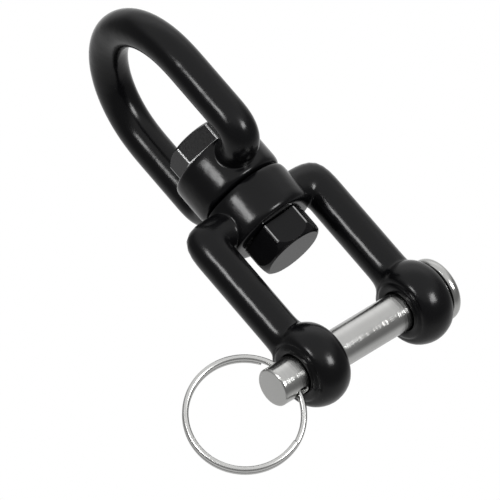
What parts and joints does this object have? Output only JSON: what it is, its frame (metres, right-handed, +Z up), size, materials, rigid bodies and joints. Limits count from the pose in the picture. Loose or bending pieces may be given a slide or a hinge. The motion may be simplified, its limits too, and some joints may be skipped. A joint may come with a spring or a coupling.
{
  "type": "jaw and eye swivel",
  "caption": "Forged eye and forged jaw joined by a hex bolt and nut so that they turn freely, with a removable clevis pin kept in by a split ring.",
  "frame": {"origin": "the inside of the eye's crown, on the swivel axis, where the swivel bears on what it hangs from", "axes": "+Z is up along the swivel axis, from the jaw to the crown. +X is along the clevis pin at rest, from its tip to its head. +Y is square to both."},
  "size_m": [0.0636, 0.0416, 0.0946],
  "materials": {
    "black_coating": "glossy black coating on forged steel",
    "black_fastener": "satin black coated steel",
    "stainless_pin": "turned and polished stainless steel",
    "stainless_ring": "bright stainless spring wire"
  },
  "bodies": {
    "eye": {"eye": "black_coating"},
    "jaw": {"jaw": "black_coating"},
    "bolt_and_nut": {"swivel_bolt": "black_fastener", "hex_nut": "black_fastener"},
    "clevis_pin": {"clevis_pin": "stainless_pin"},
    "split_ring": {"split_ring": "stainless_ring"}
  },
  "joints": [
    {"name": "swivel", "type": "hinge", "parent": "eye", "child": "jaw", "pos_m": [0, 0, -0.0374], "axis": [0, 0, 1], "continuous": true},
    {"name": "bolt_spin", "type": "hinge", "parent": "eye", "child": "bolt_and_nut", "pos_m": [0, 0, -0.0374], "axis": [0, 0, 1], "continuous": true},
    {"name": "pin_spin", "type": "hinge", "parent": "jaw", "child": "clevis_pin", "pos_m": [0, 0, -0.0746], "axis": [1, 0, 0], "continuous": true},
    {"name": "ring_swing", "type": "hinge", "parent": "clevis_pin", "child": "split_ring", "pos_m": [-0.0204, 0, -0.0746], "axis": [0, 0, 1], "range_deg": [-70, 110]}
  ]
}
